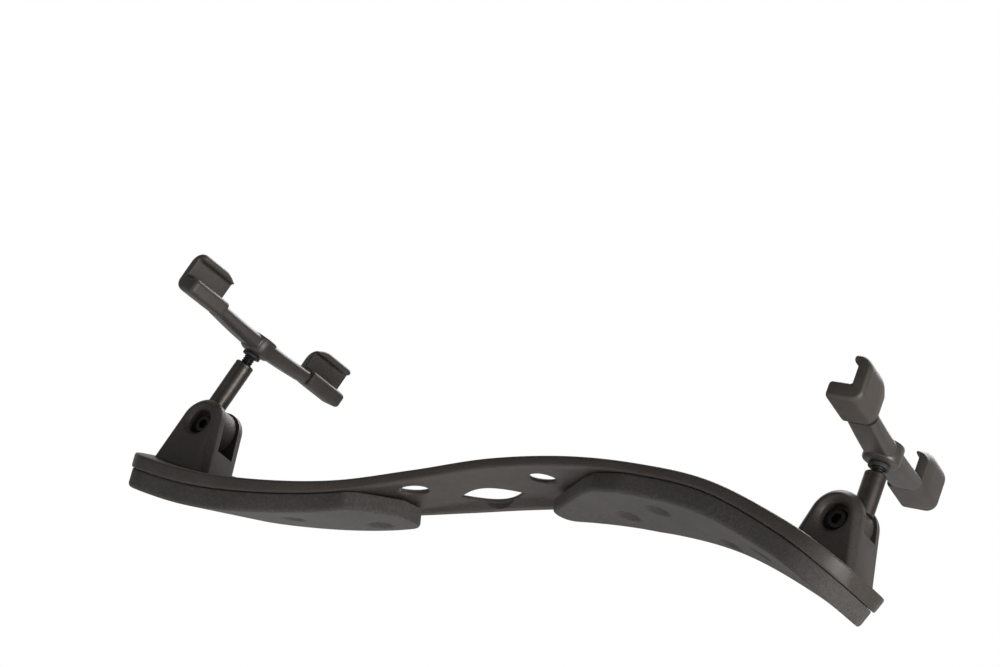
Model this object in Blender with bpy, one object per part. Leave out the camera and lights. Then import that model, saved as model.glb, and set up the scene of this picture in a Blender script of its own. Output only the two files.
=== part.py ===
"""Violin shoulder rest: an S-curved bar with two foam pads below it and two tilting,
screw-adjusted feet above it, each foot a bow with two rubber claws for the violin's edge.

Frame: metres, +Z up towards the violin. The origin lies midway between the two feet, in
the plane of the claws' seats. +X runs to the shoulder side, +Y to the violin's end button.
"""
import bmesh
import bpy
from math import cos, pi, radians, sin, sqrt
from mathutils import Matrix, Vector

MM = 0.001
GAP = 0.3                 # running and seating clearance between neighbours, mm

# ---- driving dimensions, in mm and degrees ----
# Bar stations: x, height of the top face's middle, half width, twist, thickness.
BAR_STATIONS = (
    (-116.0, -39.8, 16.5, 18.5, 4.0),
    (-90.0, -42.0, 16.8, 18.0, 3.8),
    (-66.0, -41.2, 16.2, 16.5, 3.4),
    (-42.0, -38.2, 15.0, 13.0, 3.0),
    (-20.0, -32.8, 14.0, 7.5, 2.8),
    (2.0, -26.9, 14.0, 3.2, 2.8),
    (24.0, -22.8, 14.0, 2.4, 2.8),
    (46.0, -21.4, 14.8, 3.2, 2.8),
    (68.0, -22.9, 16.2, 3.0, 3.0),
    (92.0, -29.3, 17.0, 3.0, 3.5),
    (108.5, -35.9, 17.0, 2.0, 4.0),
)
BAR_CORNER = 11.0         # plan radius of the bar's four corners
BAR_EDGE = 0.7            # chamfer along the bar's long edges
BAR_STEPS = 36
WAIST_X = -6.0            # the underside is hollowed out between rims around here
WAIST_REACH = 34.0
HOLLOW = 1.7
RIM = 2.4
# Through holes: x, place across the bar, half length, half width.
OVALS = ((-25.4, -3.0, 4.0, 3.4), (11.6, -2.5, 3.8, 3.0))
LEAF = (-8.2, 6.4, 9.3, 4.8)

# Pads: where they start and end, how far the near and the far side are set in and the
# thickness at places along the bar, and the studs and dimples as (x, across).
PADS = {
    "chest": {
        "start": -115.5, "end": -29.6,
        "near_inset": ((-38.5, 0.0), (-36.5, 1.5), (-29.6, 12.5)),
        "far_inset": ((-115, 1.0), (-28, 4.0)),
        "thickness": ((-116, 5.0), (-85, 5.3), (-55, 4.8), (-28, 4.4)),
        "studs": {"outer": (-82.0, 3.0), "inner": (-46.0, 2.0)},
        "dimples": ((-39.5, 4.0), (-61.0, -4.5)),
    },
    "shoulder": {
        "start": 11.0, "end": 108.2,
        "near_inset": ((11.0, 19.0), (28.0, 5.0), (33.0, 1.8), (42.0, 0.0)),
        "far_inset": ((11, 1.0), (40, 1.2), (70, 3.0), (95, 3.0), (108, 1.0)),
        "thickness": ((11, 3.6), (22, 4.2), (40, 4.9), (70, 4.9), (108, 4.6)),
        "studs": {"inner": (46.0, 2.0), "outer": (80.0, 3.0)},
        "dimples": ((35.5, 3.5), (50.0, -5.5), (66.0, 7.0), (81.5, -1.0)),
    },
}
PAD_INSET = 0.5           # the pads' outline inside the bar's
PAD_EDGE = 1.2
PAD_CORNER = 4.0          # plan radius at the pads' inner ends
PAD_STEPS = 18

DEPTH = 6.6               # half depth of a tower, near face to far face
SLOT = 3.2                # half width of the slot between a tower's ears
EAR_R = 7.0
EAR_BEVEL = 1.7
TOWER_DROP = 20.0         # how far a tower's blank reaches below its pivot
TOWER_FLARE = 14.0        # degrees
ENVELOPE = 20.0           # half length of the bar's stretch that shapes a tower's foot
BORE_R = 3.5
FUNNEL_R = 4.5
PIN_R = 1.5
KNUCKLE_R = 6.4
SLEEVE_OFFSET = 3.75      # sleeve axis outward of the pivot axis
SLEEVE_R = 2.7
SLEEVE_BORE_R = 1.9
ROD_R = 1.6
ROD_SPARE = 2.2           # room under a rod in its sleeve
COLLAR_R = 2.6
COLLAR_HEIGHT = 0.9

BOW_REACH = 30.5          # half length over the claws
BOSS_R = 4.6
BOSS_BOTTOM = -6.3        # below the claws' seats
BOSS_HEIGHT = 5.4
BOSS_ROOF = 2.9           # depth of the rod's bore into the boss
ARM_HALF = 4.0            # half width of the arm at its middle, less at its ends
ARM_TAPER = 0.1
ARM_THICK = 4.6
ARM_THINNING = 0.8
ARM_CHAMFER = 0.9
HEAD_FLOOR = 1.3          # floor of the bow screw's pocket below the boss's top
TONGUE_LENGTH = 8.5       # the arm's flat ends, inside the claws
TONGUE_HALF = 2.3
TONGUE_INSET = 0.85       # above the jaw's underside and below its seat
CLAW_LENGTH = 13.0
JAW = 4.5                 # thickness under the violin's edge
JAW_TIP = -4.8
MOUTH = 5.2
INNER_WALL = 1.2
OUTER_WALL = 4.4
HOOK = 1.0                # radius of the lip over the edge
HOOK_X = 0.3
CLAW_CORNER = 2.8         # lower outer corner of the claws' section
CROWN_CORNER = 3.6        # upper outer corner
JAW_CORNER = 1.2
TURN_SEGMENTS = 20

STUD_HEAD_R = 2.6         # studs: a flat head let into the pad's top, and a stem up into the bar
STUD_STEM_R = 1.4
STUD_HEAD = 0.9
DIMPLE_R = 3.3            # round dimples in the pads' soles
DIMPLE = 1.3

SCREW_R = 1.0             # tower screws
SCREW_HEAD_R = 2.0
SCREW_HEAD = 1.2
SCREW_SUNK = 0.9          # their heads above the bar's underside
SCREW_REACH = 3.4         # how far they enter a tower
EAR_Y = 4.9               # middle of an ear's thickness
NUT_R = 3.1
NUT_DEPTH = 2.0
PIN_HEAD_R = 2.5
PIN_HEAD_Y = -4.0         # outer face of the hinge screw's head, inside the near ear
PIN_HEAD = 2.2
SOCKET_R = 1.45
SOCKET_DEPTH = 1.5
SHOULDER_Z = 3.4          # where the sleeve's body rests on the knuckle
SLEEVE_FLOOR = 1.0        # solid metal under the sleeve's bore
SPIGOT_R = 1.4
SPIGOT_END = -3.4
BOW_SCREW_R = 1.9
SCREW_TIP_R = 0.45

# base: foot of the leg's axis, x and z, level with the pivot. lean: of the leg towards +X, in
# degrees. height: seats above the base, along the leg. bow_turn: of the bow about its rod.
SIDES = {
    "chest": {
        "sign": -1, "base": (-106.62, -28.57), "lean": 13.8, "height": 30.5, "sleeve_top": 20.6,
        "bow_turn": -12.0,
    },
    "shoulder": {
        "sign": 1, "base": (100.53, -22.89), "lean": -2.0, "height": 22.9, "sleeve_top": 14.0,
        "bow_turn": 6.4,
    },
}


# ---- scene, materials and mesh helpers ----
def clear_scene():
    for obj in list(bpy.data.objects):
        bpy.data.objects.remove(obj, do_unlink=True)


def material(name, colour, roughness, metallic=0.0):
    mat = bpy.data.materials.new(name)
    mat.use_nodes = True
    shader = mat.node_tree.nodes["Principled BSDF"]
    shader.inputs["Base Color"].default_value = (*colour, 1.0)
    shader.inputs["Roughness"].default_value = roughness
    shader.inputs["Metallic"].default_value = metallic
    return mat


def mesh_of(name, points, faces):
    """A mesh from points in mm, with its faces turned outwards."""
    bm = bmesh.new()
    verts = [bm.verts.new(Vector(p) * MM) for p in points]
    for face in faces:
        bm.faces.new([verts[i] for i in face])
    bmesh.ops.recalc_face_normals(bm, faces=bm.faces)
    mesh = bpy.data.meshes.new(name)
    bm.to_mesh(mesh)
    bm.free()
    mesh.shade_smooth()
    mesh.set_sharp_from_angle(angle=radians(32))
    return mesh


def add_object(name, mesh, mat, parent=None, matrix=None):
    obj = bpy.data.objects.new(name, mesh)
    bpy.context.collection.objects.link(obj)
    if mat is not None:
        mesh.materials.clear()
        mesh.materials.append(mat)
    obj.parent = parent
    if matrix is not None:
        obj.matrix_local = matrix
    return obj


def empty(name, location, rotation=(0, 0, 0), parent=None):
    obj = bpy.data.objects.new(name, None)
    bpy.context.collection.objects.link(obj)
    obj.parent = parent
    obj.location = Vector(location) * MM
    obj.rotation_euler = rotation
    return obj


def rings_mesh(name, rings):
    """Skin a stack of rings that hold the same number of points each, and close its ends."""
    count = len(rings[0])
    points = [p for ring in rings for p in ring]
    faces = []
    for k in range(len(rings) - 1):
        for i in range(count):
            j = (i + 1) % count
            faces.append((k * count + i, k * count + j, (k + 1) * count + j, (k + 1) * count + i))
    last = (len(rings) - 1) * count
    faces.append(tuple(reversed(range(count))))
    faces.append(tuple(range(last, last + count)))
    return mesh_of(name, points, faces)


def turned_mesh(name, profile, segments=TURN_SEGMENTS, axis="Z"):
    """Turn a closed (radius, height) profile about Z or Y; points at radius 0 are shared."""
    points = []
    index = []
    for radius, height in profile:
        row = []
        for k in range(segments):
            if radius == 0 and row:
                row.append(row[0])
                continue
            angle = 2 * pi * k / segments
            row.append(len(points))
            if axis == "Z":
                points.append((radius * cos(angle), radius * sin(angle), height))
            else:
                points.append((radius * cos(angle), height, radius * sin(angle)))
        index.append(row)
    faces = []
    for a, b in zip(index, index[1:] + index[:1]):
        for k in range(segments):
            j = (k + 1) % segments
            face = list(dict.fromkeys((a[k], a[j], b[j], b[k])))
            if len(face) > 2:
                faces.append(face)
    return mesh_of(name, points, faces)


def cylinder(radius, low, high):
    return ((0, high), (radius, high), (radius, low), (0, low))


def box_mesh(name, low, high):
    x0, y0, z0 = low
    x1, y1, z1 = high
    rings = [[(x0, y0, z), (x1, y0, z), (x1, y1, z), (x0, y1, z)] for z in (z0, z1)]
    return rings_mesh(name, rings)


def hexagon(radius, y):
    return [(radius * cos(k * pi / 3), y, radius * sin(k * pi / 3)) for k in range(6)]


def arc(cx, cy, radius, start, end, steps):
    """Points on an arc, angles in degrees."""
    angles = [radians(start + (end - start) * k / steps) for k in range(steps + 1)]
    return [(cx + radius * cos(a), cy + radius * sin(a)) for a in angles]


def boolean(obj, tool, operation="DIFFERENCE"):
    """A live Boolean; the tool is hidden and moves with the object's parent."""
    tool.hide_render = True
    tool.display_type = "WIRE"
    mod = obj.modifiers.new(tool.name, "BOOLEAN")
    mod.operation = operation
    mod.solver = "EXACT"
    mod.object = tool


# ---- the bar's surface ----
def station(x):
    """Height, half width, twist and thickness of the bar at x, by a smooth cubic."""
    rows = BAR_STATIONS
    x = min(max(x, rows[0][0]), rows[-1][0])
    k = max(i for i in range(len(rows) - 1) if rows[i][0] <= x)
    span = rows[k + 1][0] - rows[k][0]
    t = (x - rows[k][0]) / span

    def slope(i, column):
        low = rows[max(i - 1, 0)]
        high = rows[min(i + 1, len(rows) - 1)]
        return (high[column] - low[column]) / (high[0] - low[0])

    values = []
    for column in (1, 2, 3, 4):
        start = rows[k][column]
        end = rows[k + 1][column]
        rise = slope(k, column) * span
        run = slope(k + 1, column) * span
        values.append(start * (1 + 2 * t) * (1 - t) ** 2 + rise * t * (1 - t) ** 2
                      + end * t * t * (3 - 2 * t) - run * t * t * (1 - t))
    return values


def bar_point(x, across, depth):
    """The point at x, so far across the bar (+ to the far edge) and so deep below its top."""
    height, _, twist, _ = station(x)
    before = station(x - 0.5)[0]
    after = station(x + 0.5)[0]
    along = Vector((1.0, 0.0, after - before)).normalized()
    upright = Vector((-along.z, 0.0, along.x))
    side = Vector((0, 1, 0)) * cos(radians(twist)) + upright * sin(radians(twist))
    normal = upright * cos(radians(twist)) - Vector((0, 1, 0)) * sin(radians(twist))
    return Vector((x, 0, height)) + side * across - normal * depth


def bar_frame(x, across):
    """Placing matrix on the bar's top: local Z along the bar's normal, Y across it."""
    origin = bar_point(x, across, 0)
    up = (bar_point(x, across, 0) - bar_point(x, across, 1)).normalized()
    over = (bar_point(x, across + 1, 0) - bar_point(x, across, 0)).normalized()
    along = over.cross(up).normalized()
    rotation = Matrix((along, over, up)).transposed()
    return Matrix.Translation(origin * MM) @ rotation.to_4x4()


def bar_top(x, y):
    """Height of the bar's top face above the point (x, y)."""
    across = 0.0
    station_x = x
    for _ in range(12):
        point = bar_point(station_x, across, 0)
        across += y - point.y
        station_x += x - point.x
    return bar_point(station_x, across, 0).z


def corner_cut(x, start, end, radii):
    """How much the rounded plan corners take off the half width near the two ends."""
    cut = 0.0
    for distance, radius in ((x - start, radii[0]), (end - x, radii[1])):
        if distance < radius:
            cut = radius - sqrt(max(radius ** 2 - (radius - distance) ** 2, 0.0))
    return cut


def end_spaced(start, end, steps, radii):
    """Positions from start to end, closer together in the rounded corners."""
    first, last = [[radius * (1 - cos(radians(a))) for a in (0, 18, 36, 54, 72)] for radius in radii]
    low, high = start + radii[0], end - radii[1]
    inner = [low + (high - low) * k / steps for k in range(steps + 1)]
    return [start + c for c in first] + inner + [end - c for c in reversed(last)]


def hollow_depth(x):
    """Depth of the hollow between the rims of the waist's underside."""
    away = min(abs(x - WAIST_X) / WAIST_REACH, 1.0)
    return HOLLOW * (1 - away ** 4) ** 2


def plate_mesh(name, positions, near, far, top, bottom, edge, hollow=None):
    """A curved plate with chamfered edges that follows the bar between two outlines."""
    rings = []
    for x in positions:
        a, b = near(x), far(x)
        t, u = top(x), bottom(x)
        section = [(a + edge, t), (b - edge, t), (b, t + edge), (b, u - edge), (b - edge, u)]
        if hollow:
            v = u - hollow(x)
            section += [(b - RIM, u), (b - RIM - 0.6, v), (a + RIM + 0.6, v), (a + RIM, u)]
        section += [(a + edge, u), (a, u - edge), (a, t + edge)]
        rings.append([bar_point(x, s, d) for s, d in section])
    return rings_mesh(name, rings)


def make_bar(mat):
    start, end = BAR_STATIONS[0][0], BAR_STATIONS[-1][0]

    def half(x):
        return station(x)[1] - corner_cut(x, start, end, (BAR_CORNER, BAR_CORNER))

    def thickness(x):
        return station(x)[3]

    positions = end_spaced(start, end, BAR_STEPS, (BAR_CORNER, BAR_CORNER))
    mesh = plate_mesh("bar", positions, lambda x: -half(x), half, lambda x: 0.0, thickness, BAR_EDGE,
                      hollow_depth)
    return add_object("bar", mesh, mat)


def prism_mesh(name, outline, x, low, high):
    """An upright cutter through the bar: an (along, across) outline set at x."""
    rings = []
    for depth in (low, high):
        rings.append([bar_point(x + a, s, depth) for a, s in outline])
    return rings_mesh(name, rings)


def leaf(length, width, steps=7):
    """A pointed oval from two arcs, as (along, across) points."""
    half = [(-length + 2 * length * k / steps, width * sin(pi * k / steps)) for k in range(steps + 1)]
    return half + [(a, -s) for a, s in half[-2:0:-1]]


def oval(length, width, steps=16):
    return [(length * cos(2 * pi * i / steps), width * sin(2 * pi * i / steps)) for i in range(steps)]


def cut_eyelets(bar):
    """Two small ovals on the near side of the waist and a pointed oval between them."""
    for k, (x, across, length, width) in enumerate(OVALS + (LEAF,)):
        outline = leaf(length, width) if k == len(OVALS) else oval(length, width)
        outline = [(a, s + across) for a, s in outline]
        tool = add_object(f"eyelet_cut_{k}", prism_mesh("eyelet", outline, x, -3, 7), None)
        boolean(bar, tool)


# ---- pads and their studs ----
def along_bar(rows, x):
    """The value at x from (place, value) rows."""
    if x <= rows[0][0]:
        return rows[0][1]
    for (x0, v0), (x1, v1) in zip(rows, rows[1:]):
        if x <= x1:
            t = (x - x0) / (x1 - x0)
            return v0 + (v1 - v0) * t
    return rows[-1][1]


def make_pad(side, mat):
    pad = PADS[side]
    start, end = pad["start"], pad["end"]
    corners = (BAR_CORNER - PAD_INSET, PAD_CORNER)
    if side == "shoulder":
        corners = corners[::-1]

    def near(x):
        inset = max(corner_cut(x, start, end, corners), along_bar(pad["near_inset"], x))
        return -station(x)[1] + PAD_INSET + inset

    def far(x):
        return station(x)[1] - along_bar(pad["far_inset"], x) - corner_cut(x, start, end, corners)

    def top(x):
        return station(x)[3] + GAP

    def bottom(x):
        return top(x) + along_bar(pad["thickness"], x)

    positions = end_spaced(start, end, PAD_STEPS, corners)
    mesh = plate_mesh(f"{side}_pad", positions, near, far, top, bottom, PAD_EDGE)
    obj = add_object(f"{side}_pad", mesh, mat)
    for name, (x, across) in pad["studs"].items():
        pocket = cylinder(STUD_HEAD_R + GAP, -top(x) - STUD_HEAD - GAP, 3)
        tool = add_object(f"{side}_{name}_pocket", turned_mesh("pocket", pocket, 16), None, None,
                          bar_frame(x, across))
        boolean(obj, tool)
    for k, (x, across) in enumerate(pad["dimples"]):
        tool = add_object(f"{side}_dimple_{k}", dimple_mesh(-bottom(x)), None, None, bar_frame(x, across))
        boolean(obj, tool)


def dimple_mesh(sole):
    """A shallow cap that cuts a round dimple into a sole at this height."""
    radius = (DIMPLE_R ** 2 + DIMPLE ** 2) / (2 * DIMPLE)
    centre = sole + DIMPLE - radius
    profile = [(0, sole + DIMPLE)]
    for share in (0.35, 0.7, 1.0, 1.25):
        r = DIMPLE_R * share
        profile.append((r, centre + sqrt(radius ** 2 - r ** 2)))
    return turned_mesh("dimple", profile + [(0, profile[-1][1])], 16)


def make_studs(side, bar, mat):
    """Studs that hold the pads: a flat head in the pad's top and a stem up into the bar."""
    for name, (x, across) in PADS[side]["studs"].items():
        head = -station(x)[3] - GAP
        profile = ((0, -0.6), (STUD_STEM_R - 0.3, -0.6), (STUD_STEM_R, -0.9), (STUD_STEM_R, head),
                   (STUD_HEAD_R, head), (STUD_HEAD_R, head - STUD_HEAD), (0, head - STUD_HEAD))
        place = bar_frame(x, across)
        add_object(f"{side}_pad_stud_{name}", turned_mesh("stud", profile, 16), mat, None, place)
        hole = turned_mesh("hole", cylinder(STUD_STEM_R + GAP, -8, -0.3), 16)
        boolean(bar, add_object(f"{side}_stud_hole_{name}", hole, None, None, place))


# ---- towers ----
def foot_geometry(side):
    """Pivot, foot of the leg axis and the leg's direction, in mm."""
    spec = SIDES[side]
    lean = radians(spec["lean"])
    inward = Vector((cos(lean), 0, -sin(lean))) * -spec["sign"]
    base = Vector((spec["base"][0], 0, spec["base"][1]))
    return base + inward * SLEEVE_OFFSET, base, lean


def tower_outline(radius):
    """Round-topped profile with flaring sides, as (x, z) points about the pivot."""
    flare = radians(TOWER_FLARE)
    crown = arc(0, 0, radius, TOWER_FLARE, 180 - TOWER_FLARE, 14)
    spread = (radius + TOWER_DROP * sin(flare)) / cos(flare)
    return [(spread, -TOWER_DROP)] + crown + [(-spread, -TOWER_DROP)]


def slot_outline(side, steps):
    """The slot between the ears: rounded under the knuckle outboard, open to its floor inboard."""
    floor = KNUCKLE_R + GAP + 0.1
    outline = arc(0, 0, floor, 197, 270, steps)
    lip = outline[0][1]
    outline += [(14, -floor), (14, 12), (-14, 12), (-14, lip)]
    if side == "shoulder":
        outline = [(-x, z) for x, z in reversed(outline)]
    return outline


def bar_envelope(pivot):
    """The space that the bar takes up under a tower, one gap proud of its top face."""
    rings = []
    for k in range(13):
        x = pivot.x + ENVELOPE * (k / 6 - 1)
        section = ((-22, -GAP), (22, -GAP), (22, 30), (-22, 30))
        rings.append([bar_point(x, s, d) - pivot for s, d in section])
    return rings_mesh("envelope", rings)


def make_tower(side, mat):
    pivot, _, _ = foot_geometry(side)
    place = Matrix.Translation(pivot * MM)
    rings = []
    bevel = DEPTH - EAR_BEVEL
    for y, inset in ((-DEPTH, EAR_BEVEL), (-bevel, 0), (bevel, 0), (DEPTH, EAR_BEVEL)):
        rings.append([(x, y, z) for x, z in tower_outline(EAR_R - inset)])
    tower = add_object(f"{side}_tower", rings_mesh("tower", rings), mat, None, place)

    def cut(name, mesh):
        boolean(tower, add_object(f"{side}_{name}_cut", mesh, None, None, place))

    cut("slot", rings_mesh("slot", [[(x, y, z) for x, z in slot_outline(side, 8)] for y in (-SLOT, SLOT)]))
    funnel = FUNNEL_R - BORE_R
    bore = ((0, -DEPTH - 1), (FUNNEL_R + 1, -DEPTH - 1), (FUNNEL_R, -DEPTH), (BORE_R, -DEPTH + funnel),
            (BORE_R, 0), (0, 0))
    cut("bore", turned_mesh("bore", bore, 20, "Y"))
    cut("pin_hole", turned_mesh("pin_hole", cylinder(PIN_R + GAP, 0, DEPTH + 1), 16, "Y"))
    pocket = [hexagon(NUT_R + GAP, y) for y in (DEPTH - NUT_DEPTH - GAP, DEPTH + 1)]
    cut("nut_pocket", rings_mesh("nut_pocket", pocket))
    cut("bar", bar_envelope(pivot))
    for name, y in (("near", -EAR_Y), ("far", EAR_Y)):
        seat = bar_top(pivot.x, y)
        hole = turned_mesh("hole", cylinder(SCREW_R + GAP, -8, SCREW_REACH + GAP), 12)
        place_at = Matrix.Translation(Vector((pivot.x, y, seat)) * MM)
        boolean(tower, add_object(f"{side}_{name}_screw_hole", hole, None, None, place_at))


def make_tower_screws(side, bar, mat):
    """Two screws that come up through the bar into the feet of the tower's ears."""
    pivot, _, _ = foot_geometry(side)
    for name, y in (("near", -EAR_Y), ("far", EAR_Y)):
        seat = bar_top(pivot.x, y)
        head = SCREW_SUNK - station(pivot.x)[3]
        profile = ((0, SCREW_REACH), (SCREW_R, SCREW_REACH), (SCREW_R, head + SCREW_HEAD),
                   (SCREW_HEAD_R, head + SCREW_HEAD), (SCREW_HEAD_R, head), (0, head))
        place = Matrix.Translation(Vector((pivot.x, y, seat)) * MM)
        add_object(f"{side}_tower_screw_{name}", turned_mesh("screw", profile, 12), mat, None, place)
        hole = ((0, 5), (SCREW_R + GAP, 5), (SCREW_R + GAP, head + SCREW_HEAD + GAP),
                (SCREW_HEAD_R + GAP, head + SCREW_HEAD + GAP), (SCREW_HEAD_R + GAP, -9), (0, -9))
        tool = add_object(f"{side}_{name}_screw_cut", turned_mesh("hole", hole, 12), None, None, place)
        boolean(bar, tool)


# ---- hinge pieces ----
def make_hinge(side, steel):
    """The socket screw and the hex nut that a leg turns on; they stay with the tower."""
    pivot, _, _ = foot_geometry(side)
    place = Matrix.Translation(pivot * MM)
    inner = PIN_HEAD_Y + PIN_HEAD
    profile = ((0, PIN_HEAD_Y), (PIN_HEAD_R, PIN_HEAD_Y), (PIN_HEAD_R, inner), (PIN_R, inner),
               (PIN_R, DEPTH - 0.3), (0, DEPTH - 0.3))
    mesh = turned_mesh("hinge_screw", profile, axis="Y")
    screw = add_object(f"{side}_hinge_screw", mesh, steel, None, place)
    depths = (PIN_HEAD_Y - 1, PIN_HEAD_Y + SOCKET_DEPTH)
    socket = rings_mesh("socket", [hexagon(SOCKET_R, y) for y in depths])
    boolean(screw, add_object(f"{side}_socket_cut", socket, None, None, place))
    nut_start = DEPTH - NUT_DEPTH
    nut = rings_mesh("nut", [hexagon(NUT_R, y) for y in (nut_start, DEPTH - 0.1)])
    nut_obj = add_object(f"{side}_hinge_nut", nut, steel, None, place)
    hole = turned_mesh("nut_hole", cylinder(PIN_R + GAP, nut_start - 1, DEPTH + 1), 16, "Y")
    boolean(nut_obj, add_object(f"{side}_nut_hole_cut", hole, None, None, place))


def make_knuckle(side, leg, mat):
    """The disc between the ears; it holds the sleeve outward of the pivot."""
    thick = SLOT - GAP
    rings = []
    for y, inset in ((-thick, 0.4), (0.4 - thick, 0), (thick - 0.4, 0), (thick, 0.4)):
        rings.append([(x, y, z) for x, z in arc(0, 0, KNUCKLE_R - inset, 0, 345, 23)])
    knuckle = add_object(f"{side}_knuckle", rings_mesh("knuckle", rings), mat, leg)
    step = PIN_HEAD_Y + PIN_HEAD + GAP
    bore = ((0, -5), (PIN_HEAD_R + GAP, -5), (PIN_HEAD_R + GAP, step), (PIN_R + GAP, step),
            (PIN_R + GAP, 5), (0, 5))
    boolean(knuckle, add_object(f"{side}_knuckle_bore", turned_mesh("bore", bore, axis="Y"), None, leg))
    socket = ((0, 12), (SLEEVE_R + GAP, 12), (SLEEVE_R + GAP, SHOULDER_Z - GAP),
              (SPIGOT_R + GAP, SHOULDER_Z - GAP), (SPIGOT_R + GAP, -10), (0, -10))
    seat = Matrix.Translation((SIDES[side]["sign"] * SLEEVE_OFFSET * MM, 0, 0))
    boolean(knuckle, add_object(f"{side}_sleeve_seat", turned_mesh("seat", socket), None, leg, seat))


def make_sleeve(side, leg, mat):
    top = SIDES[side]["sleeve_top"]
    floor = SHOULDER_Z + SLEEVE_FLOOR
    profile = ((0, floor), (SLEEVE_BORE_R, floor), (SLEEVE_BORE_R, top), (SLEEVE_R - 0.35, top),
               (SLEEVE_R, top - 0.35), (SLEEVE_R, SHOULDER_Z), (SPIGOT_R, SHOULDER_Z),
               (SPIGOT_R, SPIGOT_END), (0, SPIGOT_END))
    place = Matrix.Translation((SIDES[side]["sign"] * SLEEVE_OFFSET * MM, 0, 0))
    add_object(f"{side}_sleeve", turned_mesh("sleeve", profile), mat, leg, place)


# ---- feet, in a frame on the rod's axis: Y along the bow, +X outboard, Z=0 at the seats ----
def rod_reach(side):
    """How far the rod goes down from the seats: into the sleeve, short of its floor."""
    return SIDES[side]["height"] - SHOULDER_Z - SLEEVE_FLOOR - ROD_SPARE


def make_rod(side, foot, mat):
    bottom = -rod_reach(side)
    top = BOSS_BOTTOM + BOSS_ROOF - GAP
    tapped = SCREW_TIP_R + GAP
    profile = ((0, top - 2.0), (tapped, top - 2.0), (tapped, top), (ROD_R - 0.3, top), (ROD_R, top - 0.3),
               (ROD_R, bottom + 0.4), (ROD_R - 0.4, bottom), (0, bottom))
    add_object(f"{side}_rod", turned_mesh("rod", profile), mat, foot)


def make_collar(side, foot, mat):
    high = BOSS_BOTTOM - GAP
    low = high - COLLAR_HEIGHT
    inner = ROD_R + GAP
    profile = ((inner, low), (inner, high), (COLLAR_R - 0.3, high), (COLLAR_R, high - 0.3),
               (COLLAR_R, low + 0.3), (COLLAR_R - 0.3, low))
    add_object(f"{side}_collar", turned_mesh("collar", profile), mat, foot)


def bow_section(along):
    """Half width, underside and thickness of the bow's arm at a distance from its middle."""
    reach = min(abs(along) / (BOW_REACH - CLAW_LENGTH), 1.0)
    under = BOSS_BOTTOM + 0.6 + 1.2 * reach ** 1.6
    return ARM_HALF - ARM_TAPER * reach, under, ARM_THICK - ARM_THINNING * reach


def bow_ring(y, half, low, high, chamfer):
    section = ((-half + chamfer, low), (half - chamfer, low), (half, low + chamfer),
               (half, high - chamfer), (half - chamfer, high), (-half + chamfer, high),
               (-half, high - chamfer), (-half, low + chamfer))
    return [(x, y, z) for x, z in section]


def bow_mesh():
    """The arm: a chamfered strip, bent up a little towards both claws, with end tongues."""
    end = BOW_REACH - CLAW_LENGTH - GAP
    tongue = (TONGUE_HALF, TONGUE_INSET - JAW, -TONGUE_INSET, 0.2)
    rings = [bow_ring(y, *tongue) for y in (-end - TONGUE_LENGTH, -end - 0.001)]
    for k in range(17):
        y = end * (k / 8 - 1)
        half, under, thick = bow_section(y)
        rings.append(bow_ring(y, half, under, under + thick, ARM_CHAMFER))
    rings += [bow_ring(y, *tongue) for y in (end + 0.001, end + TONGUE_LENGTH)]
    return rings_mesh("bow", rings)


def make_bow(side, foot, mat):
    bow = add_object(f"{side}_bow", bow_mesh(), mat, foot)
    top = BOSS_BOTTOM + BOSS_HEIGHT
    boss = ((0, top), (BOSS_R - 0.4, top), (BOSS_R, top - 0.4), (BOSS_R, BOSS_BOTTOM + 0.5),
            (BOSS_R - 0.5, BOSS_BOTTOM), (0, BOSS_BOTTOM))
    boolean(bow, add_object(f"{side}_boss", turned_mesh("boss", boss, 28), None, foot), "UNION")
    roof = BOSS_BOTTOM + BOSS_ROOF
    neck = SCREW_TIP_R + GAP
    floor = top - HEAD_FLOOR
    hole = ((0, top + 1), (BOW_SCREW_R + GAP, top + 1), (BOW_SCREW_R + GAP, floor), (neck, floor),
            (neck, roof), (ROD_R + GAP, roof), (ROD_R + GAP, BOSS_BOTTOM - 1), (0, BOSS_BOTTOM - 1))
    boolean(bow, add_object(f"{side}_boss_hole", turned_mesh("hole", hole), None, foot))


def make_bow_screw(side, foot, mat):
    """The small screw that holds the rod's head up into the boss."""
    top = BOSS_BOTTOM + BOSS_HEIGHT - 0.1
    under = top - 0.9
    tip = BOSS_BOTTOM + 1.0
    profile = ((0, top), (BOW_SCREW_R, top), (BOW_SCREW_R, under), (SCREW_TIP_R, under),
               (SCREW_TIP_R, tip), (0, tip))
    screw = add_object(f"{side}_bow_screw", turned_mesh("bow_screw", profile), mat, foot)
    slot = box_mesh("slot", (-3, -0.3, top - 0.4), (3, 0.3, top + 1))
    boolean(screw, add_object(f"{side}_bow_screw_slot", slot, None, foot))


def claw_outline(shrink=0.0):
    """The C-shaped section of a claw, as (outboard, up) points; the mouth opens inboard."""
    crown = MOUTH + 2 * HOOK
    tip = JAW_TIP + JAW_CORNER
    points = arc(tip, JAW_CORNER - JAW, JAW_CORNER - shrink, 270, 180, 4)
    points += arc(tip, -JAW_CORNER, JAW_CORNER - shrink, 180, 90, 4)
    points += arc(INNER_WALL - 0.8, 0.8 - shrink, 0.8, 270, 360, 4)
    points += arc(INNER_WALL - 0.8, MOUTH - 0.8 + shrink, 0.8, 0, 90, 4)
    points += arc(HOOK_X, MOUTH + HOOK, HOOK - shrink, 270, 90, 8)
    points += arc(OUTER_WALL - CROWN_CORNER, crown - CROWN_CORNER, CROWN_CORNER - shrink, 90, 0, 6)
    points += arc(OUTER_WALL - CLAW_CORNER, CLAW_CORNER - JAW, CLAW_CORNER - shrink, 0, -90, 6)
    return points


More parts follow.
